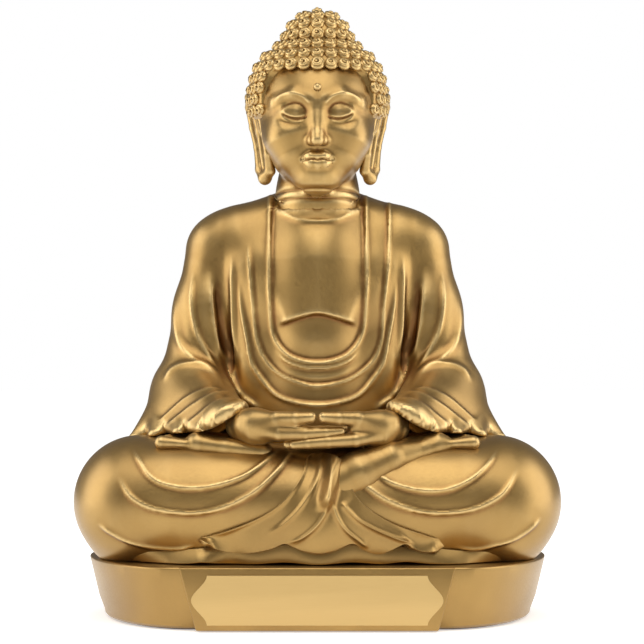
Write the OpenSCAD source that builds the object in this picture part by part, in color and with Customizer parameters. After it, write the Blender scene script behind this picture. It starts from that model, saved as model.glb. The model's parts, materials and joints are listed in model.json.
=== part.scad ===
// Seated figure in meditation on an oval plinth: a hollow cast statue put together
// from separate castings. The ground is z = 0, the figure faces -Y, and the origin
// is under the middle of the plinth.

/* [Plinth] */
// Width of the plinth at its top rim
plinth_w = 223; // [214:1:236]
// Depth of the plinth at its top rim
plinth_d = 150; // [146:1:160]
// Height of the plinth's top face above the ground
plinth_h = 30; // [30:1:33]
// How much narrower the plinth is at its foot, both sides together
plinth_taper = 14; // [6:1:16]
// Thickness of the cast walls
wall = 4; // [3.5:0.5:5]
// Gap between the plinth's lower rim and the ground
rim_gap = 0.7; // [0.5:0.1:1]

/* [Tablet and nameplate] */
// Width of the raised tablet at the top rim
tablet_w = 128; // [124:1:134]
// Width of the raised tablet at the foot
tablet_foot_w = 112.5; // [108:0.5:118]
// Width of the nameplate over its rounded ends
name_w = 116.6; // [108:0.2:118]
// Height of the nameplate
name_h = 23; // [20:1:24]
// Thickness of the nameplate
name_t = 0.8; // [0.6:0.1:1.2]
// How far the bulge at each end of the nameplate stands out
name_bulge = 7.3; // [4:0.1:8]

/* [Figure] */
// Width over both knees
knee_span = 233; // [228:1:238]
// Height of the crown of the hair above the ground
crown_h = 300; // [298:1:302]
// Height of the waist joint, where the torso stands on the lap
waist_z = 88; // [86:1:89]
// Height of the joint between torso and neck
neck_z = 200; // [199:1:201]
// Diameter of the neck
neck_d = 41; // [38:1:42]

/* [Head and hair] */
// Radius of the hair cap's outside
cap_r = 33.6; // [31:0.1:34.5]
// Thickness of the hair cap
cap_t = 2.6; // [2:0.1:3]
// Radius of the raised knot on top of the head
knot_r = 19.5; // [18:0.5:21]
// Diameter of one curl of hair
curl_d = 6; // [4:0.1:6.2]
// Distance from curl to curl
curl_pitch = 6.4; // [5:0.1:7]
// How far a curl stands out
curl_h = 3; // [1.8:0.1:3.4]

/* [Fasteners] */
// Diameter of the bolts that hold figure and plinth together
bolt_d = 6; // [5:0.5:8]
// Diameter of the wood screws in the base plate
screw_d = 3; // [2.5:0.5:3.5]
// Diameter of the locating dowels
dowel_d = 5; // [4:0.5:6]

/* [Hidden] */

gold = "#c9a15c";
pale_gold = "#d9b878";
steel = "#b8bcc0";
brass = "#c8a24a";
felt = "#4a2c22";
board = "#8a6a48";

// fineness of round forms in the castings, and of turned metal
soft = 20;
turned = 48;

// the nameplate stands proud of the tablet in front, so the plinth sits back by half
tape_t = 0.3;
tablet_y = -plinth_d / 2 - 0.6 + name_t / 2;
plinth_y = name_t / 2 + tape_t / 2;
felt_t = 1.5;
board_t = 3;
board_inset = wall + 0.5;
top_t = 5;
name_z = 14.9;
// plan of the plinth: half the straight front, and how square the round ends are
plan_flat = 60;
oval_power = 1.8;

// figure bolts stand in a triangle, base screws in a ring
bolt_spots = [[-46, 2], [46, 2], [0, 34]];
screw_spots = [for (a = [22, 90, 158, 202, 270, 338]) [86 * cos(a), 56 * sin(a)]];
washer_t = 1.6;
insert_d = 10;
insert_h = 14;
boss_d = 22;

// joints of the body, statue's left side (+X); the right side is its mirror
knee = [knee_span / 2 - 30.5, -30, 58];
knee_r = 30.5;
hip = [34, 24, 59];
hip_r = 34;
shin = [8, -45, 50];
shoulder = [47, 16, 180];
shoulder_r = 18.3;
elbow = [60, 4, 111];
elbow_r = 17.3;
wrist = [39, -54, 95];
head_c = [0, 9, 251];
knot_c = [0, 13, crown_h - curl_h - knot_r];
// the hairline is a plane that drops from the forehead to the nape
hairline_tilt = 36;
hairline_p = [0, -23, 263];

module ball(p, r) {
    translate(p) sphere(r, $fn = soft);
}

// a rounded limb from one joint to the next
module limb(p, rp, q, rq) {
    hull() {
        ball(p, rp);
        ball(q, rq);
    }
}

function mirrored(p) = [-p[0], p[1], p[2]];

module both_sides() {
    children();
    mirror([1, 0, 0]) children();
}

// plan with half axes a and b: straight front and back, superellipse ends
function oval(a, b) = [for (s = [1, -1], t = [-90 : 6 : 90])
    s * [plan_flat + (a - plan_flat) * pow(cos(t), 2 / oval_power),
         b * sign(t) * pow(abs(sin(t)), 2 / oval_power)]];

// a straight pin, bolt shank or bore from z0 up to z1
module pin(spot, d, z0, z1) {
    translate([spot[0], spot[1], z0]) cylinder(d = d, h = z1 - z0, $fn = turned);
}

// a straight dowel between two points
module dowel(p, q, d) {
    v = q - p;
    translate(p)
        rotate([0, acos(v[2] / norm(v)), atan2(v[1], v[0])])
            cylinder(d = d, h = norm(v), $fn = turned);
}

/* plinth and what closes it */

module felt_pad() {
    color(felt)
        translate([0, plinth_y, 0])
            linear_extrude(felt_t)
                polygon(oval(plinth_w / 2 - plinth_taper / 2 - board_inset - 1,
                             plinth_d / 2 - plinth_taper / 2 - board_inset - 1));
}

module base_plate() {
    color(board)
        difference() {
            translate([0, plinth_y, felt_t])
                linear_extrude(board_t)
                    polygon(oval(plinth_w / 2 - plinth_taper / 2 - board_inset,
                                 plinth_d / 2 - plinth_taper / 2 - board_inset));
            for (s = screw_spots) {
                pin(s, screw_d + 0.4, felt_t - 1, felt_t + board_t + 1);
                pin(s, 2 * screw_d, felt_t - 1, felt_t + 1.2);
            }
        }
}

module base_screws() {
    color(steel)
        for (s = screw_spots) {
            pin(s, 2 * screw_d - 0.2, felt_t, felt_t + 1.2);
            pin(s, screw_d, felt_t + 1.2, felt_t + board_t + 12);
        }
}

module plinth_block(inset, z0, z1) {
    foot = [plinth_w - plinth_taper - 2 * inset, plinth_d - plinth_taper - 2 * inset];
    rim = [plinth_w - 2 * inset, plinth_d - 2 * inset];
    translate([0, plinth_y, z0])
        linear_extrude(z1 - z0, scale = [rim[0] / foot[0], rim[1] / foot[1]])
            polygon(oval(foot[0] / 2, foot[1] / 2));
}

// upright tablet on the front of the plinth, narrower at the foot
module tablet() {
    translate([0, tablet_y + 14, 0])
        rotate([90, 0, 0])
            linear_extrude(14)
                polygon([[-tablet_foot_w / 2, rim_gap], [tablet_foot_w / 2, rim_gap],
                         [tablet_w / 2, plinth_h], [-tablet_w / 2, plinth_h]]);
}

module plinth() {
    color(gold)
        difference() {
            union() {
                difference() {
                    union() {
                        plinth_block(0, rim_gap, plinth_h);
                        tablet();
                    }
                    plinth_block(wall, rim_gap - 1, plinth_h - top_t);
                }
                // bosses for the base screws stand on the underside of the top
                for (s = screw_spots)
                    pin(s, 10, felt_t + board_t, plinth_h - top_t + 1);
            }
            for (s = screw_spots)
                pin(s, screw_d, felt_t + board_t - 1, felt_t + board_t + 14);
            for (b = bolt_spots)
                pin(b, bolt_d + 0.6, plinth_h - top_t - 1, plinth_h + 1);
        }
}

// an end of the nameplate swings out from its corner and back in one S curve each way
function swing(u) = u * u * (3 - 2 * u);

// outline of the nameplate, made larger all round by grow
module name_outline(grow) {
    w = name_w / 2 - name_bulge + grow;
    h = name_h / 2 + grow;
    polygon([for (s = [1, -1], i = [-12 : 12])
        s * [w + name_bulge * swing(1 - abs(i) / 12), i * h / 12]]);
}

module nameplate_tape() {
    color("white")
        translate([0, tablet_y, name_z])
            rotate([90, 0, 0])
                linear_extrude(tape_t) name_outline(-1);
}

module nameplate() {
    color(pale_gold)
        translate([0, tablet_y - tape_t, name_z])
            rotate([90, 0, 0])
                linear_extrude(name_t) name_outline(0);
}

/* bolts from the plinth into the lap */

module figure_washers() {
    color(steel)
        for (b = bolt_spots)
            difference() {
                pin(b, 2 * bolt_d, plinth_h - top_t - washer_t, plinth_h - top_t);
                pin(b, bolt_d + 0.6, 0, plinth_h);
            }
}

module figure_bolts() {
    head_top = plinth_h - top_t - washer_t;
    color(steel)
        for (b = bolt_spots) {
            translate([b[0], b[1], head_top - 4])
                cylinder(d = 1.9 * bolt_d, h = 4, $fn = 6);
            pin(b, bolt_d, head_top, plinth_h + 12);
        }
}

module lap_inserts() {
    color(brass)
        for (b = bolt_spots)
            difference() {
                pin(b, insert_d, plinth_h, plinth_h + insert_h);
                pin(b, bolt_d, plinth_h - 1, plinth_h + 12);
                pin(b, bolt_d - 1, plinth_h - 1, plinth_h + insert_h + 1);
            }
}

/* the lower body */

// thighs, shins and seat under the robe
module lap_body() {
    intersection() {
        union() {
            both_sides() {
                limb(hip, hip_r, knee, knee_r);
                limb(knee + [-4, -2, -2], knee_r - 2.5, shin, 22);
                // bed for the feet on the calves
                limb([20, -42, 67], 14, [68, -34, 67], 14);
            }
            limb(hip + [0, 4, -4], hip_r - 2, mirrored(hip) + [0, 4, -4], hip_r - 2);
        }
        translate([-150, -100, plinth_h]) cube([300, 200, 90]);
    }
}

module lap() {
    color(gold)
        difference() {
            lap_body();
            // level seat for the torso
            pin([0, 14], 124, waist_z, waist_z + 30);
            // hollow of the casting, open below, with a boss left round each insert
            difference() {
                union() {
                    pin([-40, -4], 52, plinth_h - 1, 66);
                    pin([40, -4], 52, plinth_h - 1, 66);
                    pin([0, 18], 66, plinth_h - 1, 78);
                }
                for (b = bolt_spots)
                    pin(b, boss_d, plinth_h - 2, 80);
            }
            for (b = bolt_spots)
                pin(b, insert_d, plinth_h - 1, plinth_h + insert_h);
            pin([0, 14], 8, 70, waist_z + 1);
            foot_dowels_form();
        }
}

// apron of robe cloth that fans out between the knees
module apron_form(grow) {
    hull() {
        ball([0, -56, 74], 9 + grow);
        ball([-34, -64, 40], 8 + grow);
        ball([34, -64, 40], 8 + grow);
    }
    hull()
        both_sides() {
            ball([34, -64, 40], 8 + grow);
            ball([58, -54, 37], 7 + grow);
        }
}

module robe_apron() {
    color(gold)
        difference() {
            apron_form(0);
            lap_body();
        }
}

// lower layer of cloth that shows under the apron and lies on the plinth
module under_hem() {
    color(gold)
        difference() {
            translate([0, plinth_y, plinth_h])
                linear_extrude(5)
                    difference() {
                        polygon(oval(82, 73));
                        polygon(oval(76, 62));
                        translate([-100, -50]) square([200, 160]);
                    }
            apron_form(0.1);
            lap_body();
        }
}

/* feet, soles up on the calves */

module foot_form() {
    // sole from heel to ball, then the toes
    limb([24, -49, 87.5], 6.3, [60, -46, 87.5], 6.5);
    limb([60, -47, 87.5], 6, [77, -43, 88], 4);
}

module foot_dowels_form() {
    both_sides()
        dowel([44, -44, 74], [44, -44, 86], dowel_d);
}

module foot_dowels() {
    color(steel) foot_dowels_form();
}

module left_foot() {
    color(gold)
        difference() {
            mirror([1, 0, 0]) foot_form();
            lap_bed_cut();
            foot_dowels_form();
        }
}

// the bare shin of the right leg shows in front and runs up to its foot
module right_foot() {
    color(gold)
        difference() {
            union() {
                foot_form();
                limb([9, -60, 70], 8, [30, -54, 83], 6.5);
            }
            lap_bed_cut();
            apron_form(0);
            foot_dowels_form();
        }
}

module lap_bed_cut() {
    limb([20, -42, 67], 14.05, [68, -34, 67], 14.05);
    limb([-20, -42, 67], 14.05, [-68, -34, 67], 14.05);
}

/* the upper body */

module torso_body() {
    // waist and chest
    hull()
        both_sides() {
            ball([24, 16, 104], 30);
            ball([26, 14, 164], 28);
        }
    // belly over the folded hands
    hull() {
        ball([0, 3, 114], 27);
        ball([0, 10, 152], 26);
        both_sides() ball([24, 14, 114], 26);
    }
    // chest up to the shoulders
    hull()
        both_sides() {
            ball([26, 14, 164], 28);
            ball(shoulder, shoulder_r);
        }
    // slope from the shoulders to the neck
    hull() {
        ball([0, 15, 190], 20);
        both_sides() ball(shoulder + [-10, 0, 4], 13);
    }
}

module torso() {
    color(gold)
        difference() {
            torso_body();
            translate([-100, -80, waist_z - 60]) cube([200, 200, 60]);
            pin([0, 11], 90, neck_z, neck_z + 20);
            // hollow of the casting, open at the waist
            both_sides() pin([18, 14], 42, waist_z - 1, 170);
            pin([0, 14], 42, waist_z - 1, 170);
            pin([0, 14], 8, 160, 176);
            pin([0, 11], 8, 180, neck_z + 1);
            sleeve_dowels_form();
        }
}

// threaded rod that draws torso and lap together, with its nut under the lap's top
module waist_rod() {
    color(steel) pin([0, 14], 8, 72, 174);
}

module waist_nut() {
    color(steel)
        difference() {
            translate([0, 14, 72]) cylinder(d = 15, h = 6, $fn = 6);
            pin([0, 14], 8, 70, 80);
        }
}

module sleeve_form() {
    limb(shoulder, shoulder_r - 0.3, elbow, elbow_r);
    limb(elbow, elbow_r - 2, wrist, 10);
    // cloth that hangs from the forearm to the thigh
    hull() {
        ball(elbow + [-4, -8, -10], 8);
        ball([44, -46, 96], 5);
        ball([38, -30, 98], 5);
    }
}

module sleeve() {
    color(gold)
        difference() {
            sleeve_form();
            torso_body();
            // the cloth rests level on the thighs
            translate([-100, -100, 40]) cube([200, 200, waist_z + 5 - 40]);
            sleeve_dowels_form();
            hand_dowels_form();
        }
}

module right_sleeve() {
    mirror([1, 0, 0]) sleeve();
}

module left_sleeve() {
    sleeve();
}

module sleeve_dowels_form() {
    both_sides() {
        dowel([40, 15, 176], [58, 14, 170], dowel_d);
        dowel([38, 12, 124], [60, 8, 124], dowel_d);
    }
}

module sleeve_dowels() {
    color(steel) sleeve_dowels_form();
}

/* hands, the right one resting on the left */

module hand_form(lift) {
    // palm, the four fingers laid together, and the thumb
    limb([37, -57, 95], 7.5, [24, -62, 91 + lift], 7);
    hull() {
        ball([26, -60, 90 + lift], 5);
        ball([24, -67, 90 + lift], 3.2);
        ball([-11, -66, 89.6 + lift], 2.6);
        ball([-9, -60, 89.6 + lift], 2.8);
    }
    limb([25, -59, 96 + lift / 2], 4.6, [1.7, -66, 98.8], 2.6);
}

module hand_dowels_form() {
    both_sides()
        dowel([31, -60, 95], [42, -46, 96.5], 4);
}

module hand_dowels() {
    color(steel) hand_dowels_form();
}

module right_hand() {
    color(gold)
        difference() {
            mirror([1, 0, 0]) hand_form(1.4);
            hand_dowels_form();
            mirror([1, 0, 0]) limb(elbow, elbow_r - 2, wrist, 10.05);
        }
}

module left_hand() {
    color(gold)
        difference() {
            hand_form(-3.4);
            hand_dowels_form();
            limb(elbow, elbow_r - 2, wrist, 10.05);
            mirror([1, 0, 0]) hand_form(1.5);
        }
}

/* the head */

module neck_dowel() {
    color(steel) pin([0, 11], 8, 181, 222);
}

module head_body() {
    head_egg();
    // nose
    hull() {
        ball([0, -24, 244], 2);
        ball([0, -26, 230], 4);
    }
    pin([0, 11], neck_d, neck_z, 232);
    // rings of the neck
    for (z = [203, 208])
        translate([0, 11, z])
            rotate_extrude($fn = turned) translate([neck_d / 2 - 0.6, 0]) circle(1.5, $fn = 24);
}

module head() {
    color(gold)
        difference() {
            head_body();
            pin([0, 11], 60, neck_z - 20, neck_z);
            pin([0, 11], 8, neck_z - 1, 222);
            dowel([0, 12, 272], [0, 12, 290], dowel_d);
            // seat for the urna
            translate(urna_p) sphere(1.9, $fn = turned);
        }
}

urna_p = [0, -20.8, 257];

module urna() {
    color(pale_gold) translate(urna_p) sphere(1.9, $fn = turned);
}

module ear_form() {
    difference() {
        union() {
            // shell of the ear, then the long lobe
            hull() {
                ball([30.5, 8, 250], 4.6);
                ball([29.5, 6, 236], 4);
            }
            hull() {
                ball([29.2, 6, 236], 3.8);
                ball([27.6, 4, 214.5], 3.4);
            }
        }
        // long slit of the pierced lobe
        translate([20, 5, 0]) {
            translate([0, 0, 218]) rotate([0, 90, 0]) cylinder(d = 3, h = 20, $fn = 24);
            translate([0, -1.5, 218]) cube([20, 3, 12]);
            translate([0, 0, 230]) rotate([0, 90, 0]) cylinder(d = 3, h = 20, $fn = 24);
        }
        head_egg();
    }
}

// skull, and the face as a plain egg from brow to chin
module head_egg() {
    ball(head_c, cap_r - cap_t);
    hull() {
        ball([0, 4, 246], 27);
        ball([0, -7, 222], 15);
        ball([0, 6, 224], 20);
    }
}

module left_ear() {
    color(gold) ear_form();
}

module right_ear() {
    color(gold) mirror([1, 0, 0]) ear_form();
}

/* hair */

// everything above the hairline
module above_hairline(lift) {
    translate(hairline_p)
        rotate([-hairline_tilt, 0, 0])
            translate([-60, -60, lift]) cube([120, 160, 90]);
}

module hair_cap() {
    color(gold)
        difference() {
            intersection() {
                translate(head_c) sphere(cap_r, $fn = 96);
                above_hairline(0);
            }
            head_egg();
            for (s = [-1, 1])
                translate([s * 30.5, 8, 250]) sphere(6.4, $fn = turned);
            dowel([0, 12, 272], [0, 12, 290], dowel_d);
        }
}

module knot_dowel() {
    color(steel) dowel([0, 12, 272], [0, 12, 290], dowel_d);
}

module ushnisha() {
    color(gold)
        difference() {
            translate(knot_c) sphere(knot_r, $fn = 96);
            translate(head_c) sphere(cap_r, $fn = 96);
            dowel([0, 12, 272], [0, 12, 290], dowel_d);
        }
}

// one snail curl, a small stepped whorl standing on z = 0
module curl() {
    rotate_extrude($fn = 24)
        polygon([[0, 0], [curl_d / 2, 0], [curl_d / 2, 0.7], [curl_d / 3, 1.4],
                 [curl_d / 5, curl_h], [0, curl_h]]);
}

// direction at polar angle a from the top and azimuth b
function heading(a, b) = [sin(a) * cos(b), sin(a) * sin(b), cos(a)];

// rows of directions over a ball of radius r, one curl pitch apart
function whorl_rows(r, a_max) = [for (i = [0 : floor(a_max / (curl_pitch / r * 57.3))])
    let (a = i * curl_pitch / r * 57.3, n = max(1, floor(360 * sin(a) * r / 57.3 / curl_pitch)))
    for (j = [0 : n - 1]) heading(a, (j + (i % 2) / 2) * 360 / n + 90)];

hair_normal = [0, sin(hairline_tilt), cos(hairline_tilt)];

module curls(c, r, a_max, keep) {
    for (v = whorl_rows(r, a_max))
        if (keep(c + r * v))
            translate(c + r * v)
                rotate([0, acos(v[2]), atan2(v[1], v[0])]) curl();
}

// clear of the hairline, the knot and the ears
clear_of_cap = function (p)
    (p - hairline_p) * hair_normal > curl_d / 2 + 0.2
    && norm(p - knot_c) > knot_r + curl_d / 2
    && norm([abs(p[0]), p[1], p[2]] - [30.5, 8, 250]) > 9;

clear_of_knot = function (p) norm(p - head_c) > cap_r + curl_h;

module hair_curls() {
    color(gold) curls(head_c, cap_r, 150, clear_of_cap);
}

module ushnisha_curls() {
    color(gold) curls(knot_c, knot_r, 100, clear_of_knot);
}

felt_pad();
base_plate();
base_screws();
plinth();
nameplate_tape();
nameplate();
figure_washers();
figure_bolts();
lap_inserts();
lap();
robe_apron();
under_hem();
right_foot();
left_foot();
foot_dowels();
waist_rod();
waist_nut();
torso();
sleeve_dowels();
right_sleeve();
left_sleeve();
hand_dowels();
right_hand();
left_hand();
neck_dowel();
head();
right_ear();
left_ear();
urna();
hair_cap();
knot_dowel();
ushnisha();
hair_curls();
ushnisha_curls();
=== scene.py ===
# %% [markdown]
# # A seated figure in gold-painted cast resin
# The statue is put together from separate castings: plinth, lap, robe apron, torso, two
# sleeves, hands, feet, head, ears and hair. The frame gives every casting its place and
# size. This script gives each one its sculpted surface and its finish.

# %% Load the frame
import bpy
import bmesh
import json
import math
import numpy as np
from mathutils import Matrix, Vector

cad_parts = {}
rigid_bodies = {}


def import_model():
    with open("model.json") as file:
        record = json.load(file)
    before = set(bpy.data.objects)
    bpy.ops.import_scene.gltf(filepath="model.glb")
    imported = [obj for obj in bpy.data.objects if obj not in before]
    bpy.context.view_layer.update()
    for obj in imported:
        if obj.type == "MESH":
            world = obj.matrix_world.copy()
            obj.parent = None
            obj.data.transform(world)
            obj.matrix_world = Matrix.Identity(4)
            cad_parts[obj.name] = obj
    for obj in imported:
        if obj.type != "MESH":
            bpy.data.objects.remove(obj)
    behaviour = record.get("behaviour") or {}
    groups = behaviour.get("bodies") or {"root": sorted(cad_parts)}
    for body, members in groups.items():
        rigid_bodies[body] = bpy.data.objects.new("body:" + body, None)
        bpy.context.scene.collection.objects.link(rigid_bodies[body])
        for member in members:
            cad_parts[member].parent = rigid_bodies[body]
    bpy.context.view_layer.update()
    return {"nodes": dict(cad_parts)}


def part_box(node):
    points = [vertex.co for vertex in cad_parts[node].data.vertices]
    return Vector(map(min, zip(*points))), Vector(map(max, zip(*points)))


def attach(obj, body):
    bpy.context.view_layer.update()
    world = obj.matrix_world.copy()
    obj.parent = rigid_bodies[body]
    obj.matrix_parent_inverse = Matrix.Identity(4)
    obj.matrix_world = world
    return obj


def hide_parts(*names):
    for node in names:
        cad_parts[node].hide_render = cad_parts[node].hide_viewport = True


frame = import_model()

MM = 0.001

# %% [markdown]
# ## Sizes that everything hangs on
# All sculpting is done in millimetres and turned to metres at the very end. The key
# heights and widths come from the frame's own pieces, so the sculpted castings stay where
# the plain ones are.

# %% Key sizes in millimetres
def box_mm(node):
    low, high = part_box(node)
    return np.array(low) / MM, np.array(high) / MM

lap_high = box_mm("lap")[1]
plinth_low, plinth_high = box_mm("plinth")
plate_low, plate_high = box_mm("nameplate")
knot_high = box_mm("ushnisha_curls")[1]
DECK = plinth_high[2]            # top face of the plinth
KNEE = lap_high[0]               # half the width over the knees
CROWN = knot_high[2]             # top of the hair
print(f"deck {DECK:.1f}, half knee span {KNEE:.1f}, crown {CROWN:.1f} mm")

# %% [markdown]
# ## The camera
# A product shot from straight in front: the lens is long and level with the figure's
# hands, so upright lines stay upright and the plinth's top is seen almost edge on.

# %% Camera
cam_data = bpy.data.cameras.new("camera")
cam_data.sensor_width = 36.0
cam_data.lens = 142.1
cam = bpy.data.objects.new("camera", cam_data)
bpy.context.scene.collection.objects.link(cam)
cam.location = (0.0022, -1.25, 0.1436)
cam.rotation_euler = (math.radians(90), 0, 0)
bpy.context.scene.camera = cam
print("camera at", tuple(cam.location))

# %% [markdown]
# ## Sculpting by field
# A sculptor starts from an armature of rounded limbs and fills the joints with clay. Here a
# limb is a ball that moves and grows from one point to another. Its field is the distance
# from its skin, and two fields melt together with a fillet of a chosen size.

# %% Fields of rounded limbs
def limb_field(p, limb):
    a, ra, b, rb = limb
    a, b = np.array(a, float), np.array(b, float)
    ab = b - a
    t = np.clip(((p - a) @ ab) / max(ab @ ab, 1e-9), 0, 1)
    return np.linalg.norm(p - a - t[:, None] * ab, axis=1) - (ra + t * (rb - ra))

def melt(d1, d2, k):
    h = np.clip(0.5 + 0.5 * (d2 - d1) / k, 0, 1)
    return d2 + (d1 - d2) * h - k * h * (1 - h)

def carve(d, tool, k):
    return -melt(-d, tool, k)

def clay(p, limbs, k):
    d = limb_field(p, limbs[0])
    for limb in limbs[1:]:
        d = melt(d, limb_field(p, limb), k)
    return d

def clay_both(p, limbs, k, join=4.0):
    """The limbs and their mirror images, melted over the middle so that no crease shows."""
    return melt(clay(p, limbs, k), clay(p * np.array([-1, 1, 1]), limbs, k), join)

def flip(limbs):
    def side(v):
        return (-v[0], v[1], v[2])
    return [(side(a), ra, side(b), rb) for a, ra, b, rb in limbs]

def both(limbs):
    return limbs + flip(limbs)
print("fields ready")

# %% [markdown]
# The block-out is a string of overlapping balls along each limb. A voxel remesh melts them
# into one closed skin of even quads, and each point of that skin then slides onto the
# field. A few rounds of smoothing in between keep the quads even.

# %% Block out and remesh
def new_object(name, bm):
    mesh = bpy.data.meshes.new(name)
    bm.to_mesh(mesh)
    bm.free()
    obj = bpy.data.objects.new(name, mesh)
    bpy.context.scene.collection.objects.link(obj)
    return obj

def apply_modifiers(obj):
    depsgraph = bpy.context.evaluated_depsgraph_get()
    mesh = bpy.data.meshes.new_from_object(obj.evaluated_get(depsgraph))
    old = obj.data
    obj.modifiers.clear()
    obj.data = mesh
    bpy.data.meshes.remove(old)

def block_out(name, limbs, voxel):
    bm = bmesh.new()
    for a, ra, b, rb in limbs:
        a, b = Vector(a), Vector(b)
        steps = max(1, int((b - a).length / (0.35 * min(ra, rb))))
        for i in range(steps + 1):
            t = i / steps
            place = Matrix.Translation(a.lerp(b, t))
            bmesh.ops.create_icosphere(bm, subdivisions=3, radius=ra + t * (rb - ra), matrix=place)
    obj = new_object(name, bm)
    remesh = obj.modifiers.new("voxels", "REMESH")
    remesh.mode = "VOXEL"
    remesh.voxel_size = voxel
    remesh.use_smooth_shade = True
    apply_modifiers(obj)
    return obj

def get_points(obj):
    co = np.empty(len(obj.data.vertices) * 3, np.float32)
    obj.data.vertices.foreach_get("co", co)
    return co.reshape(-1, 3).astype(np.float64)

def set_points(obj, p):
    obj.data.vertices.foreach_set("co", p.astype(np.float32).ravel())
    obj.data.update()
print("block-out ready")

# %% [markdown]
# A point settles by stepping along the field's slope until it stands on the skin. Relaxing
# draws every point a little towards its neighbours.

# %% Settle and relax
def edges_of(obj):
    e = np.empty(len(obj.data.edges) * 2, np.int32)
    obj.data.edges.foreach_get("vertices", e)
    return e.reshape(-1, 2)

def relax(p, edges, rounds, strength=0.5):
    count = np.bincount(edges.ravel(), minlength=len(p))[:, None]
    for _ in range(rounds):
        total = np.zeros_like(p)
        for axis in range(3):
            total[:, axis] = (np.bincount(edges[:, 0], p[edges[:, 1], axis], len(p))
                              + np.bincount(edges[:, 1], p[edges[:, 0], axis], len(p)))
        p = p + strength * (total / np.maximum(count, 1) - p)
    return p

def slope(field, p, value=None, step=0.1):
    value = field(p) if value is None else value
    g = np.empty_like(p)
    for axis in range(3):
        shift = np.zeros(3)
        shift[axis] = step
        g[:, axis] = (field(p + shift) - value) / step
    return g

def settle(obj, field, rounds=3, smooth=1):
    p = get_points(obj)
    edges = edges_of(obj)
    for i in range(rounds):
        if i < rounds - 1:
            p = relax(p, edges, smooth)
        value = field(p)
        g = slope(field, p, value)
        p = p - value[:, None] * g / np.maximum((g ** 2).sum(1), 0.25)[:, None]
    set_points(obj, p)
    return p, edges
print("settling ready")

# %% [markdown]
# ## Folds of cloth
# A fold in cast cloth is a long soft ridge with a sharper side. Each one follows a curve
# given by a few points seen from the front, rounded by a spline. Near the curve the skin
# is lifted, and the lift fades out towards both ends.

# %% Fold curves
def spline(points, per_span=8):
    pts = [np.array(q, float) for q in points]
    pts = [2 * pts[0] - pts[1]] + pts + [2 * pts[-1] - pts[-2]]
    out = []
    for a, b, c, d in zip(pts, pts[1:], pts[2:], pts[3:]):
        for i in range(per_span):
            t = i / per_span
            out.append(0.5 * (2 * b + (c - a) * t + (2 * a - 5 * b + 4 * c - d) * t * t
                              + (3 * b - a - 3 * c + d) * t ** 3))
    out.append(pts[-2])
    return np.array(out)

def along(curve, q):
    """Signed distance of 2-D points q from a curve, and how far along it they lie, 0 to 1."""
    best = np.full(len(q), 1e9)
    side = np.ones(len(q))
    place = np.zeros(len(q))
    n = len(curve) - 1
    for i in range(n):
        a, ab = curve[i], curve[i + 1] - curve[i]
        t = np.clip((q - a) @ ab / max(ab @ ab, 1e-9), 0, 1)
        off = q - a - t[:, None] * ab
        d = np.hypot(off[:, 0], off[:, 1])
        near = d < best
        best[near] = d[near]
        cross = ab[0] * (q[:, 1] - a[1]) - ab[1] * (q[:, 0] - a[0])
        side[near] = np.sign(cross[near])
        place[near] = (i + t[near]) / n
    return best * side, place

def smoothstep(x):
    x = np.clip(x, 0, 1)
    return x * x * (3 - 2 * x)

def ends(place, start=0.12, end=0.12):
    rise = smoothstep(place / start) if start else 1.0
    fall = smoothstep((1 - place) / end) if end else 1.0
    return rise * fall

def fold(q, points, lift, width, shelf=0.0, reach=8.0, start=0.12, end=0.12):
    """A rounded lip along a curve, and a shelf that falls away on the curve's left."""
    s, place = along(spline(points), q)
    lip = np.exp(-(s / width) ** 2)
    step = smoothstep(0.5 + s / width) * np.exp(-np.maximum(s, 0) / reach)
    return (lift * lip + shelf * step) * ends(place, start, end)

print("folds ready")

# %% [markdown]
# ## The robe over chest and arms
# Torso and arms are sculpted as one figure, so that the cloth runs on from shoulder to
# sleeve, and are sawn apart afterwards. One column of clay down each side and a thicker one
# down the middle make the rib cage, back and belly. Each arm hangs from the shoulder to the
# elbow and comes forward to the wrist, and its cloth fans out over the thigh.

# %% Clay of the upper body
trunk = [
    ((26, 15, 166), 26.5, (21, 14, 96), 30),
    ((14, 9, 176), 16.5, (16, 2.5, 157), 18),
    ((0, 6.5, 150), 25.4, (0, 3, 96), 29),
    ((28, 16, 182), 16, (47, 17, 181), 17.2),
    ((0, 15, 196), 16.5, (36, 16, 187), 14.6),
    ((0, 20, 191), 15, (16, 20, 190), 14),
    ((0, 18, 176), 23, (0, 15, 92), 30.5),
    ((0, 11, 192), 21.4, (0, 8, 172), 24.2),
    ((0, 8, 172), 24.2, (0, 6.5, 150), 25.4)]
arm = [
    ((49, 17, 178), 16.5, (54, 11, 150), 16.0),
    ((54, 11, 150), 16.0, (60.3, 4, 114), 17.4),
    ((60, 2, 108), 15.5, (42, -46, 97), 10.5)]
# cloth that spreads from the forearm over the thigh
drape = [
    ((66, -2, 104), 13, (88, -20, 87), 3.5),
    ((64, -2, 105), 13.5, (78, -32, 89), 3.5),
    ((62, -2, 106), 14, (66, -42, 90), 3.5),
    ((61, -3, 106), 13.5, (54, -49, 92.5), 3.5),
    ((60, -4, 105), 13, (42, -54, 97), 3.5),
    ((42, -54, 97), 3.5, (33, -52, 100), 3)]

HEM_EDGE = [(24, 101.9), (30, 102.2), (35, 102), (38.5, 99.9), (44.6, 95.9), (50.6, 92.9),
            (56.6, 91.4), (72, 90.4), (84, 87.6), (94, 84.5), (104, 80)]


def hem_height(x):
    x_known, z_known = zip(*HEM_EDGE)
    return np.interp(np.abs(x), x_known, z_known)

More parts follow.
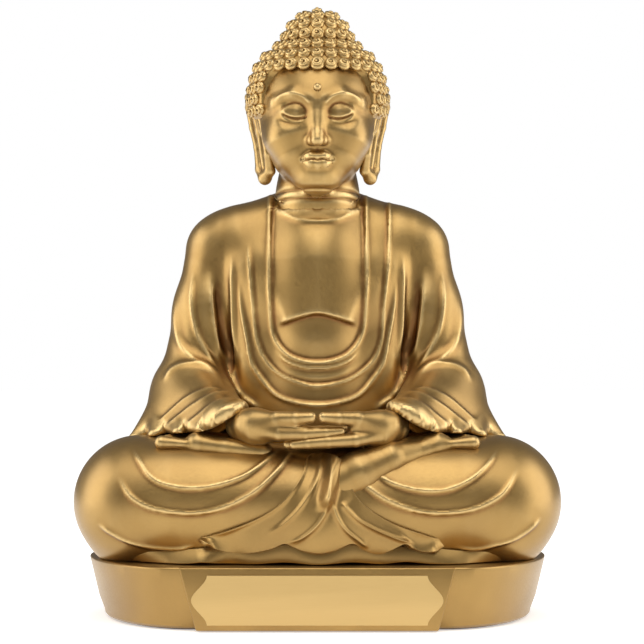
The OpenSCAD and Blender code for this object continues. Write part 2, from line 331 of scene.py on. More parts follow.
def upper_body(p):
    q = p.copy()
    q[:, 0] = np.abs(q[:, 0])
    # the neck of the head stands in a round seat
    from_neck = np.hypot(q[:, 0], q[:, 1] - 11)
    body = carve(clay_both(q, trunk, 9), np.maximum(199.5 - q[:, 2], from_neck - 20.7), 1.0)
    sleeve = clay(q, arm, 8)
    sleeve = melt(sleeve, clay(q, drape, 12), 9)
    # the cloth ends in a hem, hollow underneath
    under = 0.7 * (q[:, 2] - hem_height(q[:, 0]))
    front = smoothstep((-q[:, 1] - 2) / 16)
    under = under + 12 * (1 - front)
    sleeve = carve(sleeve, under, 1.6)
    return melt(body, sleeve, 3)
print("upper body:", 2 * len(trunk + arm + drape), "limbs")

# %% [markdown]
# The folds of the robe, seen from the front: the neckline and the bands round it hang in
# long U shapes, and the sleeves swing round the elbows.

# %% Folds of the upper body
collar = [(22.5, 202), (19, 198), (11, 194), (0, 192.6), (-11, 194), (-19, 198), (-22.5, 202)]
neckline = [(-23.2, 212), (-23.2, 190), (-23.2, 160), (-22.6, 143), (-20, 134.5), (-14.5, 128.3),
            (-7, 125.3), (0, 124.6), (7, 125.3), (14.5, 128.3), (20, 134.5), (22.8, 143),
            (23.5, 160), (23.6, 190), (23.6, 212)]
second_lip = [(-21, 131), (-15.8, 125.2), (-8, 122.2), (0, 121.4), (8, 122.2), (15.8, 125.2),
              (21, 131)]
third_lip = [(-21, 124), (-12, 118.6), (0, 117), (12, 118.6), (21, 124)]
band = [(-34, 184), (-32.7, 168), (-31.2, 147), (-29.3, 135), (-25.4, 125.7), (-18.7, 118.9),
        (-8, 114.5), (1.2, 113.2), (15.3, 116.2), (25.9, 123.7), (31.1, 134.4), (32.5, 151),
        (34.7, 179), (35.2, 206)]
wide_fold = [(-38.5, 166), (-37.5, 152), (-34.6, 136.3), (-31.9, 124.2), (-26.9, 116), (-20.1, 108.8),
             (-10.6, 105.2), (0.2, 104), (10.6, 105.2), (20.1, 108.8), (26.9, 116), (31.9, 124.2),
             (34.6, 136.3), (37.5, 152), (38.5, 166)]
side_fold = [(-41.6, 178), (-41.6, 150), (-41.4, 127), (-40.4, 114.6), (-36, 107.5), (-26.4, 100.8)]
sleeve_folds = [
    [(-69.4, 160), (-69.9, 145), (-66.8, 133), (-60.2, 126.6), (-51, 121.7), (-43.6, 113.4)],
    [(-60.6, 171), (-61.6, 155), (-59.7, 141.7), (-55, 131.4), (-46.5, 120.2)],
    [(-51.5, 165), (-50.4, 148.5), (-48, 134.8), (-43.6, 124)]]
elbow_crease = [(-76, 114), (-70.8, 121.2), (-63, 123.9), (-54.2, 122.5), (-45, 114)]
forearm_folds = [
    [(-76, 96), (-73.5, 99.2), (-63.7, 107.8), (-55.7, 112), (-50.2, 113.3), (-43, 112)],
    [(-74, 93.5), (-69.8, 96.8), (-60, 104.7), (-50.8, 110.2), (-44.7, 111.4), (-39, 110)],
    [(-66, 93.6), (-59.4, 98), (-50.8, 105.3), (-43.5, 108.4), (-37, 108.2)],
    [(-57, 94.2), (-50.8, 98.6), (-43.5, 104.1), (-38.6, 106.2), (-33, 105.6)]]
chest_line = [(-21, 141.4), (-12, 144.6), (-3.6, 147), (0, 147.4), (3.6, 147), (12, 144.6), (21, 141.4)]
arm_gap = [(-50.5, 170), (-48.6, 158), (-46.6, 145), (-44.2, 132), (-41.4, 119), (-38, 109)]


def robe_folds(p, n):
    q = p[:, [0, 2]]
    front = smoothstep((-n[:, 1] + 0.15) / 0.5)
    chest = smoothstep((52 - np.abs(q[:, 0])) / 8) * front
    d = fold(q, collar, 0.5, 1.1, -0.6, 3, 0.05, 0.05)
    d += fold(q, neckline, 0.7, 1.0, -1.4, 30, 0, 0)
    d += fold(q, second_lip, 0.7, 0.8, 0.0, 8, 0.2, 0.2)
    d += fold(q, third_lip, 0.5, 1.6, 0.0, 8, 0.3, 0.3)
    d += fold(q, band, 0.7, 0.9, -0.9, 9, 0.08, 0)
    d += fold(q, wide_fold, 0.9, 1.1, -1.0, 9, 0.12, 0.12)
    d += fold(q, chest_line, 0.0, 1.6, 2.0, 13, 0.12, 0.12)
    d += 1.4 * np.exp(-(q[:, 0] / 15) ** 2 - ((q[:, 1] - 134) / 7) ** 2)
    d = d * chest
    q_left = np.column_stack([-np.abs(q[:, 0]), q[:, 1]])
    side = fold(q_left, side_fold, 1.1, 1.4, -0.8, 6)
    for i, points in enumerate(sleeve_folds):
        side += fold(q_left, points, (1.1, 0.9, 0.9)[i], (1.9, 1.3, 1.1)[i], -0.8, 9, 0.25, 0.15)
    side += fold(q_left, elbow_crease, 1.0, 1.4, -0.6, 5, 0.2, 0.2)
    for points in forearm_folds:
        side += fold(q_left, points, 0.35, 0.9, -0.7, 4, 0.2, 0.2)
    side += fold(q_left, arm_gap, -2.8, 2.4, 0.0, 6, 0.3, 0.3)
    return d + side * front

VOXEL = 0.9

def sculpt(name, limbs, field, folds, voxel, smooth_after=1):
    obj = block_out(name, limbs, voxel)
    p, edges = settle(obj, field)
    if folds:
        n = slope(field, p)
        n /= np.linalg.norm(n, axis=1)[:, None]
        lift = folds(p, n)
        p = p + lift[:, None] * n
    p = relax(p, edges, smooth_after, 0.3)
    set_points(obj, p)
    print(name, "sculpted:", len(p), "points")
    return obj

upper = sculpt("upper_body", both(trunk + arm + drape), upper_body, robe_folds, VOXEL)

# %% [markdown]
# ## The crossed legs
# Thighs run from the hips to the knees and the shins come back to the middle in front, all
# under one skin of cloth. The casting is cut level where it sits on the plinth.

# %% Clay of the lap
legs = [
    ((32, 26, 58), 33.5, (KNEE - 30.5, -29, 58), 30.5),
    ((KNEE - 32.5, -32, 56.5), 29.5, (8, -37, 52), 29.5),
    ((0, 26, 56), 34, (32, 26, 58), 33.5),
    ((52, -46, 41), 13, (KNEE - 24, -28, 41), 13.5),
    ((0, -20, 52), 30, (40, -20, 56), 30),
    ((12, -42, 60.3), 24.5, (68, -41, 60.3), 24.5),
    ((0, 17, 72), 31, (24, 17, 72), 31)]

def lap_clay(p):
    return clay_both(p, legs, 8, 6.0)

def lap_field(p):
    return carve(lap_clay(p), p[:, 2] - DECK, 0.8)

lap_left = [
    ([(-88, 84), (-83.2, 77.5), (-78.8, 71.8), (-72.5, 68.1), (-60.3, 65.9), (-48.1, 67), (-33.5, 71.6),
      (-21.3, 79.8), (-17, 83)], 1.0, 0.9, 0.7),
    ([(-94, 72), (-88.3, 63.1), (-81.7, 58.4), (-72.3, 55.6), (-57.8, 54.4), (-43.8, 57), (-30.2, 63.6),
      (-19.9, 72.3), (-13.3, 79.9), (-11, 83)], 1.1, 0.95, 0.8),
    ([(-104, 49), (-95.9, 44.3), (-88.4, 40.6), (-78.8, 38.2), (-65.9, 37.3), (-56, 39)], 1.0, 0.9, 0.9)]
lap_right = [
    ([(26, 74), (32, 69.6), (38.7, 66.9), (49.5, 64.8), (60.3, 65.2), (71.1, 69.5), (79.5, 76), (86, 84)],
     1.0, 0.9, 0.7),
    ([(18, 71), (23.6, 66.3), (32.1, 60.6), (44.7, 55.9), (56.9, 54.4), (70.9, 55.8), (82.6, 60.4),
      (89, 66), (95, 76)], 1.1, 0.95, 0.8),
    ([(62, 38.2), (74, 37.2), (83.3, 39), (91.8, 41.6), (99, 46), (106, 52)], 1.0, 0.9, 0.9)]
back_folds = [
    [(-96, 66), (-70, 50), (-36, 43), (0, 41), (36, 43), (70, 50), (96, 66)],
    [(-80, 78), (-56, 62), (-28, 55), (0, 53), (28, 55), (56, 62), (80, 78)]]

def lap_folds(p, n):
    q = p[:, [0, 2]]
    front = smoothstep((-n[:, 1] + 0.2) / 0.5)
    back = smoothstep((n[:, 1] + 0.1) / 0.5)
    d = np.zeros(len(p))
    for points, lift, width, shelf in lap_left + lap_right:
        d += fold(q, points, lift, width, shelf, 6, 0.16, 0.16) * front
    for points in back_folds:
        d += fold(q, points, 0.9, 1.6, 0.6, 7, 0.2, 0.2) * back
    # nothing moves where the casting sits on the plinth
    return d * smoothstep((p[:, 2] - DECK - 0.2) / 2.0)

lap_piece = sculpt("lap_cloth", both(legs), lap_field, lap_folds, VOXEL)

# %% [markdown]
# ## The apron and the hem beneath it
# Cloth that falls between the knees spreads like a fan and ends in a waved hem. Each layer
# is a sheet: a grid is stretched between its upper line and its hem, laid against the lap
# by stepping forward from in front until it meets the clay, and thickened.

# %% A cloth sheet laid against the lap
def resample(points, count):
    curve = spline(points, 12)
    length = np.concatenate([[0], np.cumsum(np.hypot(*np.diff(curve, axis=0).T))])
    at = np.linspace(0, length[-1], count)
    return np.column_stack([np.interp(at, length, curve[:, i]) for i in range(2)])

def lay_against(x, z, field, start=-110.0, steps=60):
    p = np.column_stack([x, np.full(len(x), start), z])
    for _ in range(steps):
        p[:, 1] += np.clip(field(p), -2, 20) * 0.9
    return p[:, 1]

def cloth_sheet(name, top, hem, across, down, stand_off, thick):
    bm = bmesh.new()
    bmesh.ops.create_grid(bm, x_segments=across - 1, y_segments=down - 1, size=0.5)
    bm.verts.ensure_lookup_table()
    uv = np.array([v.co[:2] for v in bm.verts]) + 0.5
    upper_line, lower_line = resample(top, across), resample(hem, across)
    col = np.rint(uv[:, 0] * (across - 1)).astype(int)
    drop = 1 - uv[:, 1]
    xz = upper_line[col] * (1 - drop[:, None]) + lower_line[col] * drop[:, None]
    y = lay_against(xz[:, 0], xz[:, 1], lap_clay)
    y = y - stand_off(uv[:, 0], drop, xz)
    for v, px, py, pz in zip(bm.verts, xz[:, 0], y, xz[:, 1]):
        v.co = (px, py, pz)
    bmesh.ops.remove_doubles(bm, verts=bm.verts, dist=0.02)
    bmesh.ops.recalc_face_normals(bm, faces=bm.faces)
    if sum(f.normal.y for f in bm.faces) > 0:
        bmesh.ops.reverse_faces(bm, faces=bm.faces)
    obj = new_object(name, bm)
    solid = obj.modifiers.new("thickness", "SOLIDIFY")
    solid.thickness = thick
    solid.offset = -1.0
    soft = obj.modifiers.new("round edge", "SUBSURF")
    soft.levels = soft.render_levels = 1
    apply_modifiers(obj)
    for face in obj.data.polygons:
        face.use_smooth = True
    print(name, "laid:", len(obj.data.polygons), "faces")
    return obj

# %% [markdown]
# The apron's upper line runs from one thigh up to the hands and down to the other, and its
# pleats fan out from there. The layer beneath shows as a low wave between apron and plinth.

# %% Apron and under hem
apron_top = [(-58, 42.2), (-51, 43.6), (-39.8, 47), (-25.4, 53.6), (-15.6, 60.8), (-7.7, 71.2),
             (-4.4, 81), (4, 82.5), (12, 79), (17, 64.5), (24.5, 56.5), (36.2, 49.4), (50.6, 44),
             (61, 41.4)]
apron_hem = [(-58, 41.4), (-54.4, 42.0), (-50, 40), (-46, 37.2), (-34.9, 35.6), (-22.9, 37.4),
             (-15.5, 40.2), (-11, 38.5), (-6.2, 36.6), (1.2, 35.6), (8.6, 37), (16.4, 40.2), (22, 37),
             (28, 35.2), (34, 37), (40.9, 40.2), (45, 38), (50, 36.4), (56, 37), (61, 39.6)]
apron_folds = [
    ([(-4, 84), (-4.4, 80.2), (-7.7, 70.9), (-15.6, 60.2), (-25.4, 53.2), (-39.8, 46.7),
      (-51, 43)], 0.8, 1.1, 0.0),
    ([(1.4, 84), (1.6, 80.4), (-0.2, 71.1), (-6.3, 59.9), (-14.2, 51.1), (-24, 44.4)], 0.9, 1.1, 0.4),
    ([(6.8, 84), (6.7, 74.4), (6.2, 66), (5.4, 58), (0.2, 49.1), (-7.6, 42.6),
      (-15.5, 40.2)], 1.2, 1.2, -1.2),
    ([(11.8, 84), (9.4, 72), (6.8, 61), (11.4, 49), (20, 41), (24, 38)], 1.0, 1.1, 0.9),
    ([(10.5, 60), (20.2, 50.6), (36, 43), (46, 40)], 1.0, 1.1, 0.8)]

def drape_edge(z):
    """Where the right-hand edge of the middle drape runs, over the bare shin."""
    return 6.3 + 5.1 * (z - 60.4) / 22.6

def apron_stand_off(u, drop, xz):
    flare = 1.6 + 4.2 * drop ** 2
    wave = 1.3 * drop * np.cos((xz[:, 0] - 1) * 2 * math.pi / 31)
    lift = np.zeros(len(xz))
    for points, height, width, shelf in apron_folds:
        lift += fold(xz, points, height, width, shelf, 5, 0.1, 0.2)
    past_edge = xz[:, 0] - drape_edge(xz[:, 1]) + 2.0
    lip = 7.5 * np.exp(-(past_edge / 3.2) ** 2) * smoothstep((xz[:, 1] - 55) / 8)
    inside = smoothstep(np.minimum(u, 1 - u) / 0.06)
    return (flare + wave) * inside - 1.2 * (1 - inside) + lift + lip

apron = cloth_sheet("apron_cloth", apron_top, apron_hem, 220, 70, apron_stand_off, 1.8)

hem_top = [(-96, 36), (-76, 36), (-50, 38.5), (-20, 40), (0, 40), (20, 40), (50, 38.5), (76, 36), (96, 36)]
hem_low = [(-96, DECK + 0.6), (-78, DECK + 0.4), (-62, DECK + 0.6), (-54, DECK + 1.4), (-46, DECK + 0.6),
           (-30, DECK + 0.4), (-15, DECK + 1.2), (0, DECK + 0.4), (16, DECK + 1.2), (30, DECK + 0.4),
           (41, DECK + 1.4), (52, DECK + 0.6), (66, DECK + 0.4), (80, DECK + 0.4), (96, DECK + 0.6)]

def hem_stand_off(u, drop, xz):
    wave = 1.1 * drop * np.cos((xz[:, 0] - 1) * 2 * math.pi / 31)
    inside = smoothstep(np.minimum(u, 1 - u) / 0.14)
    return (0.8 + 7.6 * drop + wave) * inside - 2.5 * (1 - inside)

hem_piece = cloth_sheet("under_hem_cloth", hem_top, hem_low, 180, 16, hem_stand_off, 1.6)

# %% [markdown]
# ## Feet and hands
# Both are made of the same kind of limb: one for each bone. Feet lie sole up on the calves,
# with the shin of the right leg running up from the apron. The right hand lies on the left,
# and the two thumbs rise to meet tip to tip.

# %% Clay of the feet
def toe(i):
    y = -50.0 + 4.2 * i
    length = (12.6, 11.5, 10.5, 9.2, 8)[i]
    size = (3.3, 2.7, 2.5, 2.3, 2.1)[i]
    return ((61, y, 85.9 + 0.5 * i), size * 0.6, (61 + length, y + 0.4 * i, 86.7 + 0.4 * i), size)

foot = [
    ((26, -51, 82.4), 4.9, (44, -49.5, 84.4), 4.8),
    ((44, -49.5, 84.4), 4.8, (56.5, -48, 85.9), 5.5),
    ((56.5, -47.5, 85.8), 5.5, (63, -47.5, 84.8), 3.6),
    ((27, -42, 83.0), 5.4, (44, -40, 85.0), 5.4),
    ((44, -40, 85.0), 5.4, (56, -37, 86.6), 5.4),
    ((56, -37, 86.4), 5.2, (56.5, -47.5, 85.8), 5.4)]
toes = [toe(i) for i in range(5)]
shin_bone = [
    ((6, -58.5, 66.3), 11, (20, -59.2, 73.2), 10.2),
    ((20, -59.2, 73.2), 10.2, (34, -56, 79.4), 8),
    ((34, -56, 79.4), 8, (50, -50.5, 83.4), 5.2),
    ((50, -50.5, 83.4), 5.2, (60, -48.5, 85.6), 4.2)]
FINE = 0.5

def foot_clay(p, extra):
    d = clay(p, foot + extra, 1.2)
    for limb in toes:
        d = melt(d, limb_field(p, limb), 1.1)
    return d

def right_foot_field(p):
    # the shin ends where the edge of the middle drape covers it
    return carve(foot_clay(p, shin_bone), p[:, 0] - drape_edge(p[:, 2]) + 1.0, 0.6)

def left_foot_field(p):
    q = p * np.array([-1, 1, 1])
    return foot_clay(q, [])

right_foot = sculpt("right_foot_skin", foot + toes + shin_bone, right_foot_field, None, FINE)
left_foot = sculpt("left_foot_skin", flip(foot + toes), left_foot_field, None, FINE)

# %% [markdown]
# A finger is four bones that taper to the tip, and the folded ones behind it are laid a
# little further back. Both hands are the same shape at two heights, mirrored, and their
# fingers slope opposite ways so that they cross in the middle.

# %% Clay of the hands
def finger(y, root_z, reach, size, drop):
    """A finger from inside the palm across the middle, in four tapering bones."""
    z = root_z
    root, knuckle, joint, last, tip = 28, 18, 18 - 0.42 * reach, 18 - 0.74 * reach, 19 - reach
    y_root = -56 + 0.55 * (y + 56)
    return [((root, y_root, z + 2.2), size * 1.1, (knuckle, y, z + 0.3), size * 1.1),
            ((knuckle, y, z + 0.3), size * 1.1, (joint, y - 0.6, z - 0.25 * drop), size * 1.0),
            ((joint, y - 0.6, z - 0.25 * drop), size * 1.0, (last, y - 0.5, z - 0.6 * drop), size * 0.9),
            ((last, y - 0.5, z - 0.6 * drop), size * 0.9, (tip, y, z - drop), size * 0.68)]

def fingers(root_z, drop):
    out = []
    for y, reach, size in ((-63.4, 30, 3.1), (-57.6, 33, 3.2), (-51.8, 31, 3.1), (-46.2, 26, 2.8)):
        out.append(finger(y, root_z, reach, size, drop))
    return out

palm = [
    ((35.5, -48, 94.6), 7.8, (28, -55, 94.2), 7.6),
    ((29, -55, 94.2), 7.6, (19, -59, 92.8), 5.6),
    ((34, -44, 94.4), 7.2, (20, -48, 92.8), 5.4)]
thumb = [
    ((34, -55, 96.2), 5.2, (19, -62.5, 98.0), 3.8),
    ((19, -62.5, 98.3), 3.7, (10, -65, 98.7), 3.1),
    ((10, -65, 98.7), 3.1, (2.9, -66, 99.2), 2.5)]

def lower(limbs, dz):
    return [((a[0], a[1], a[2] + dz), ra, (b[0], b[1], b[2] + dz), rb) for a, ra, b, rb in limbs]

def hand_clay(p, root_z, drop, palm_drop):
    d = clay(p, lower(palm, palm_drop), 5)
    for limbs in fingers(root_z, drop):
        d = melt(d, clay(p, limbs, 0.4), 1.3)
    return melt(d, clay(p, thumb, 0.5), 3.6)

def all_limbs(root_z, drop, palm_drop):
    return lower(palm, palm_drop) + sum(fingers(root_z, drop), []) + thumb

def right_hand_field(p):
    return hand_clay(p * np.array([-1, 1, 1]), 91.2, -1.4, 0.3)

def left_hand_field(p):
    return hand_clay(p, 88.2, 1.9, -1.2)

right_hand = sculpt("right_hand_skin", flip(all_limbs(91.2, -1.4, 0.3)), right_hand_field, None, FINE)
left_hand = sculpt("left_hand_skin", all_limbs(88.2, 1.9, -1.2), left_hand_field, None, FINE)

# %% [markdown]
# ## The head
# The head is an egg on a short neck. The face is a plain one on the proportions taught in
# drawing classes: eyes half way up, one eye's width apart, the nose ends half way from brow
# to chin, and the mouth sits a third of the way below it. The lids are lowered and calm.

# %% Proportions of the head
CHIN, SKULL_TOP = 207.0, 283.0
NECK_CUT = 195.5                 # the neck ends inside the collar of the chest
EYE_Z = (CHIN + SKULL_TOP) / 2 - 0.5
BROW_Z = EYE_Z + 6.0
NOSE_Z = (BROW_Z + CHIN) / 2 + 0.5
MOUTH_Z = NOSE_Z - (NOSE_Z - CHIN) / 3
print(f"eyes {EYE_Z:.1f}, brow {BROW_Z:.1f}, nose {NOSE_Z:.1f}, mouth {MOUTH_Z:.1f} mm")

skull = [
    ((0, 9, 250), 29.5, (0, 13, 250), 29),
    ((0, 0, 244), 25.5, (0, -1, 240), 24.5),
    ((10.5, -3, 235), 15.5, (8, -3, 226), 14.2),
    ((0, -8, 221.5), 13.2, (0, -10.5, 219), 11.6),
    ((0, -15.5, 214.2), 7.4, (3, -14.4, 214.6), 6.8)]
neck = [((0, 11, 200), 20.4, (0, 11, 206), 20.2), ((0, 11, 206), 20.2, (0, 10, 222), 18.5)]
nose = [
    ((0, -21.5, BROW_Z - 2), 2.6, (0, -27.4, NOSE_Z + 4.5), 2.9),
    ((0, -27.4, NOSE_Z + 4.5), 2.9, (0, -28.6, NOSE_Z + 2), 3.2)]
wings = [((3.0, -25.6, NOSE_Z + 1.9), 2.0, (3.9, -24.2, NOSE_Z + 2.1), 1.8)]
lips = [
    ((0, -24.4, MOUTH_Z + 1.4), 1.8, (3.2, -24.0, MOUTH_Z + 1.7), 1.6),
    ((3.2, -24.0, MOUTH_Z + 1.7), 1.6, (7.0, -21.9, MOUTH_Z + 0.9), 0.7),
    ((0, -23.9, MOUTH_Z - 1.8), 2.2, (3.4, -23.4, MOUTH_Z - 1.5), 1.8),
    ((3.4, -23.4, MOUTH_Z - 1.5), 1.8, (6.4, -21.8, MOUTH_Z - 0.4), 0.8)]
cheek = [((15, -13.5, 233), 9.5, (12, -14.5, 226), 8)]
lid = [((9.9, -17.6, EYE_Z + 0.3), 6.0, (13.4, -16.6, EYE_Z + 0.4), 5.9)]
brow = [((4, -21.6, BROW_Z), 2.2, (12, -20.4, BROW_Z + 2.3), 2.2),
        ((12, -20.4, BROW_Z + 2.3), 2.2, (20.5, -14.8, BROW_Z - 0.2), 1.8)]

# %% [markdown]
# Skull, neck, nose, lips, cheeks, lids and brows melt together with a fillet each, broad on
# the skull and tight on the lips. The neck is cut level where it stands in the chest.

# %% Clay of the head
def head_clay(p):
    q = p.copy()
    q[:, 0] = np.abs(q[:, 0])
    d = clay_both(q, skull, 7, 3.0)
    d = melt(d, clay(q, neck, 3), 2.5)
    d = melt(d, clay(q, cheek, 3), 6)
    d = melt(d, clay(q, brow, 2), 4)
    # hollows under the brows, which the lids then fill
    socket = limb_field(q, ((9.8, -28.6, EYE_Z + 1), 6.0, (14.6, -26.4, EYE_Z + 1), 6.0))
    d = carve(d, socket, 5.0)
    d = melt(d, clay(q, lid, 1), 1.8)
    d = melt(d, clay(q, nose, 1.5), 3.2)
    d = melt(d, clay(q, wings, 1), 2.2)
    d = melt(d, clay_both(q, lips, 1.8, 1.0), 2.2)
    return d

def head_field(p):
    d = head_clay(p)
    rings = 0.0
    r = np.hypot(p[:, 0], p[:, 1] - 11)
    front_drop = 6.5 * smoothstep((-(p[:, 1] - 11) / np.maximum(r, 1) + 1) / 2) - 6.5
    for z in (208.3, 204.2):
        rings = rings + np.exp(-((p[:, 2] - z - front_drop) / 1.0) ** 2)
    low = smoothstep((214 - p[:, 2]) / 4)
    d = d + 0.8 * rings * low
    return carve(d, p[:, 2] - NECK_CUT, 0.8)

eye_line = [(4.9, EYE_Z - 1.4), (8, EYE_Z - 2.5), (11.5, EYE_Z - 2.7), (15, EYE_Z - 1.6),
            (17.8, EYE_Z + 0.4)]
lower_lid = [(6, EYE_Z - 2.9), (9, EYE_Z - 4.3), (12, EYE_Z - 4.4), (15.5, EYE_Z - 3), (17.6, EYE_Z - 1)]
lid_crease = [(5.4, EYE_Z + 1.2), (8, EYE_Z + 4.2), (12, EYE_Z + 5.0), (16, EYE_Z + 3.6),
              (18.6, EYE_Z + 0.8)]
brow_line = [(3.2, BROW_Z - 2), (7, BROW_Z + 2), (12.5, BROW_Z + 3.9), (18, BROW_Z + 2.6),
             (22.5, BROW_Z - 1)]
mouth_line = [(0, MOUTH_Z - 0.1), (2.6, MOUTH_Z + 0.4), (5.6, MOUTH_Z), (8.8, MOUTH_Z + 0.9)]
lip_rim = [(0, MOUTH_Z + 2.9), (2, MOUTH_Z + 3.6), (5.5, MOUTH_Z + 2.6), (8.8, MOUTH_Z + 1.2)]
philtrum = [(0, NOSE_Z - 1.2), (0, MOUTH_Z + 3.4)]

def face_lines(p, n):
    q = np.column_stack([np.abs(p[:, 0]), p[:, 2]])
    front = smoothstep(-n[:, 1] / 0.4) * (p[:, 1] < 0)
    d = fold(q, eye_line, -0.85, 0.55, 0.0, 4, 0.1, 0.15)
    d += fold(q, [(x, z + 1.0) for x, z in eye_line], 0.22, 0.6, 0.0, 4, 0.15, 0.2)
    d += fold(q, lower_lid, 0.28, 0.7, 0.0, 4, 0.25, 0.25)
    d += fold(q, lid_crease, -0.45, 0.6, 0.0, 4, 0.2, 0.2)
    d += fold(q, brow_line, 0.4, 0.7, 0.0, 4, 0.1, 0.25)
    d += fold(q, mouth_line, -0.75, 0.6, 0.0, 4, 0.0, 0.12)
    d += fold(q, lip_rim, 0.16, 0.5, 0.0, 4, 0.0, 0.2)
    d += fold(q, philtrum, -0.35, 1.0, 0.0, 4, 0.3, 0.1)
    return d * front

head_limbs = both(skull + cheek + wings + lips + lid + brow) + neck + nose
head_piece = sculpt("head_skin", head_limbs, head_field, face_lines, FINE * 1.1)

# %% [markdown]
# ## The ears
# Long ears that were pierced and stretched. The rim is one looped cord of clay that stands
# away from the head at the back, with a thinner shell of skin inside it.

# %% Clay of the ears
ear_path = [((28.6, -1, 247), 1.5), ((31.5, 2, 254), 1.8), ((34, 8, 254.8), 1.9), ((34, 13, 250), 1.9),
            ((32, 13, 240), 1.9), ((29.6, 11, 230), 2.0), ((28.0, 8.5, 219), 2.8), ((26, 5, 214.6), 3.2),
            ((23.4, 1, 218), 2.6), ((24.2, -2, 226), 2.1), ((26.4, -3.4, 236), 1.5)]
ear = [(a, ra, b, rb) for (a, ra), (b, rb) in zip(ear_path, ear_path[1:] + ear_path[:1])]
shell = [((31, 6, 248), 1.9, (28.6, 5, 238), 1.9), ((28.6, 5, 238), 1.9, (25.6, 4, 218), 1.7),
         ((30.6, 9, 248), 2.0, (28.0, 7, 232), 1.8), ((29.4, 2, 246), 1.8, (27.4, 1, 238), 1.8),
         ((28.2, 8, 247), 4.2, (27.0, 7, 238), 3.4), ((27.6, 0.6, 241.5), 2.2, (26.8, 0, 238.5), 2.0)]

def left_ear_field(p):
    return melt(clay(p, ear, 1.0), clay(p, shell, 1.6), 1.0)

def right_ear_field(p):
    return left_ear_field(p * np.array([-1, 1, 1]))

left_ear = sculpt("left_ear_skin", ear + shell, left_ear_field, None, FINE)
right_ear = sculpt("right_ear_skin", flip(ear + shell), right_ear_field, None, FINE)

# %% [markdown]
# ## The hair
# The scalp cap and the knot on the crown are smooth, and carry small snail curls that are
# cast apart. The hair grows straight across the forehead, turns down in front of the ears
# and runs round behind them to the nape.

# %% Cap and knot
HAIRLINE = 266.0
CURL = 6.4                       # spacing of the curls round a row
ROW = 5.35                       # distance from row to row
CURL_H = 3.0                     # how far a curl stands out
KNOT_FROM = 281.5                # rows above this height belong to the knot

cap_clay = [((0, 8.5, 250), 31.2, (0, 13, 249), 31), ((7, 9, 257), 25.6, (7, 14, 255.5), 26)]
knot_clay = [((0, 13, 273), 19.5, (0, 12.5, 280), 16.6),
             ((0, 12.5, 280), 16.6, (0, 12.2, CROWN - CURL_H - 9.6), 9.4)]

def cap_field(p):
    return clay_both(p, cap_clay, 5, 3.0)

def knot_field(p):
    return clay(p, knot_clay, 3)

def scalp(p):
    return melt(cap_field(p), knot_field(p), 5)

def inside_hairline(p):
    """How far a point lies inside the hair, in mm."""
    x, y, z = np.abs(p[:, 0]), p[:, 1], p[:, 2]
    ear_top = 243 - 27 * smoothstep((y - 10) / 8)
    temple = np.minimum(y + 8.5, z - ear_top)
    return -melt(HAIRLINE + 1.2 - z, -temple, 4)

def hair_field(p):
    return carve(cap_field(p), inside_hairline(p), 0.8)

hair_cap = sculpt("hair_cap_skin", both(cap_clay), hair_field, None, FINE * 1.6)
knot = sculpt("ushnisha_skin", knot_clay, knot_field, None, FINE * 2)

# %% [markdown]
# One snail curl is a tube wound two turns up a dome. The screw form of the spin operator
# winds the tube, and each ring of it is then drawn in towards the tip and made a little
# thinner. The rings stay in order, so a ring's number says how far along the tube it is.

# %% One snail curl
def curl_mesh(radius=3.5, turns=1.75, steps=26, sides=6):
    bm = bmesh.new()
    tube = 1.12
    upright = Matrix.Translation((radius, 0, 0)) @ Matrix.Rotation(math.radians(90), 4, "X")
    ring = bmesh.ops.create_circle(bm, radius=1, segments=sides, cap_ends=False, matrix=upright)
    edges = list({e for v in ring["verts"] for e in v.link_edges})
    bmesh.ops.spin(bm, geom=ring["verts"] + edges, cent=(0, 0, 0), axis=(0, 0, 1),
                   dvec=(0, 0, 0), angle=turns * 2 * math.pi, steps=steps,
                   use_merge=False, use_duplicate=False)
    bm.verts.ensure_lookup_table()
    for i, v in enumerate(bm.verts):
        t = (i // sides) / steps
        turn = t * turns * 2 * math.pi
        out = Vector((math.cos(turn), math.sin(turn), 0))
        offset = v.co - out * radius
        size = tube * (1 - 0.32 * t)
        reach = (radius - tube) * (1 - t) ** 0.9
        height = 0.4 + (CURL_H - 0.4 - size) * (1 - (reach / (radius - tube)) ** 2)
        v.co = out * reach + offset * size + Vector((0, 0, height))
    bmesh.ops.holes_fill(bm, edges=[e for e in bm.edges if e.is_boundary], sides=sides)
    # a flattened ball under the winding closes the gaps between its turns
    flat_ball = Matrix.Diagonal((radius - 0.25, radius - 0.25, 0.62 * CURL_H, 1))
    bmesh.ops.create_uvsphere(bm, u_segments=14, v_segments=8, radius=1, matrix=flat_ball)
    bmesh.ops.recalc_face_normals(bm, faces=bm.faces)
    for f in bm.faces:
        f.smooth = True
    mesh = bpy.data.meshes.new("curl")
    bm.to_mesh(mesh)
    bm.free()
    print("one curl:", len(mesh.polygons), "faces")
    return mesh

# %% [markdown]
# The curls sit in level rows that go right round the scalp. Every row starts with one curl
# in the middle of the front, so the columns line up there.

# %% Rows of curls
def ring_on(field, z):
    """Points round a level ring where a field's skin is, from the front's middle round."""
    angle = np.linspace(-math.pi / 2, 1.5 * math.pi, 361)
    way = np.column_stack([np.cos(angle), np.sin(angle), np.zeros(361)])
    r = np.full(361, 3.0)
    start = np.array([0.0, 12.0, z])
    for _ in range(40):
        r = np.clip(r - field(start + way * r[:, None]), 0.4, 60)
    return start + way * r[:, None]

def curl_row(z):
    ring = ring_on(scalp, z)
    length = np.concatenate([[0], np.cumsum(np.linalg.norm(np.diff(ring, axis=0), axis=1))])
    count = max(1, 2 * round(length[-1] / CURL / 2))
    at = np.arange(count) * length[-1] / count
    return np.column_stack([np.interp(at, length, ring[:, i]) for i in range(3)])

